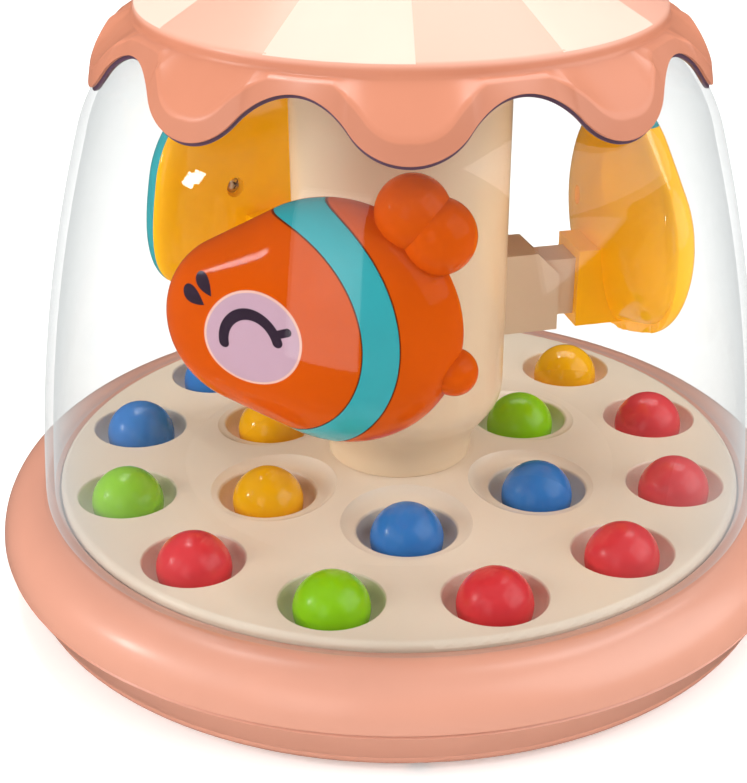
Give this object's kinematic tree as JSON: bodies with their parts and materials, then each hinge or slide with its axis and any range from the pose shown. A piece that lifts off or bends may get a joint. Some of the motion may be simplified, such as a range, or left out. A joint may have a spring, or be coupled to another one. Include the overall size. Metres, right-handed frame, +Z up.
{
  "type": "carousel music box",
  "caption": "Press-and-spin carousel music box: a pink base, a clear dome over fish and loose balls on a turning tray, a striped scalloped canopy and a press knob",
  "frame": {"origin": "centre of the base on the surface it stands on", "axes": "+Z up along the turning axis, -Y towards the viewer of the picture, +X to the viewer's right"},
  "size_m": [0.2106, 0.2106, 0.191],
  "materials": {
    "pink": "smooth moulded, soft gloss",
    "cream": "smooth moulded, soft gloss",
    "clear": "clear polished",
    "orange": "smooth moulded",
    "yellow": "smooth moulded",
    "teal": "smooth moulded",
    "red": "polished",
    "green": "polished",
    "blue": "polished",
    "steel": "drawn and tumbled",
    "brass": "turned",
    "bearing": "plain low-friction plastic",
    "foot_rubber": "matte"
  },
  "bodies": {
    "housing": {"base_pan": "pink", "base_rim": "pink", "feet": "foot_rubber", "base_screws": "steel", "spindle": "steel", "thrust_washer": "bearing", "dome": "clear", "canopy": "pink", "roof_panels": "cream", "canopy_screws": "steel", "upper_bush": "bearing", "knob_collar": "cream", "knob_spring": "steel", "comb": "steel", "comb_block": "brass", "comb_screws": "steel"},
    "carousel": {"ball_tray": "cream", "balls_red": "red", "balls_yellow": "yellow", "balls_green": "green", "balls_blue": "blue", "column": "cream", "fish_orange_front": "orange", "fish_orange_band": "teal", "fish_orange_back": "orange", "fish_yellow_right_front": "yellow", "fish_yellow_right_band": "teal", "fish_yellow_right_back": "yellow", "fish_yellow_left_front": "yellow", "fish_yellow_left_band": "teal", "fish_yellow_left_back": "yellow", "fish_screws": "steel", "column_cap": "cream", "neck": "cream", "pin_drum": "brass", "lower_bush": "bearing", "tray_screws": "steel", "cap_screws": "steel"},
    "driver": {"drive_nut": "bearing"},
    "knob": {"press_knob": "orange", "twisted_bar": "steel"}
  },
  "joints": [
    {"name": "carousel_spin", "type": "hinge", "parent": "housing", "child": "carousel", "pos_m": [0, 0, 0.03], "axis": [0, 0, 1], "continuous": true},
    {"name": "knob_press", "type": "slide", "parent": "housing", "child": "knob", "axis": [0, 0, 1], "range_m": [-0.016, 0], "stiffness_N_per_m": 250, "springref_m": 0.006, "deforming": ["knob_spring"]},
    {"name": "nut_spin", "type": "hinge", "parent": "housing", "child": "driver", "pos_m": [0, 0, 0.13], "axis": [0, 0, 1], "range_deg": [-20, 180]}
  ],
  "couplings": [
    {"joint": "nut_spin", "follows": "knob_press", "rad_per_m": -174.53}
  ]
}
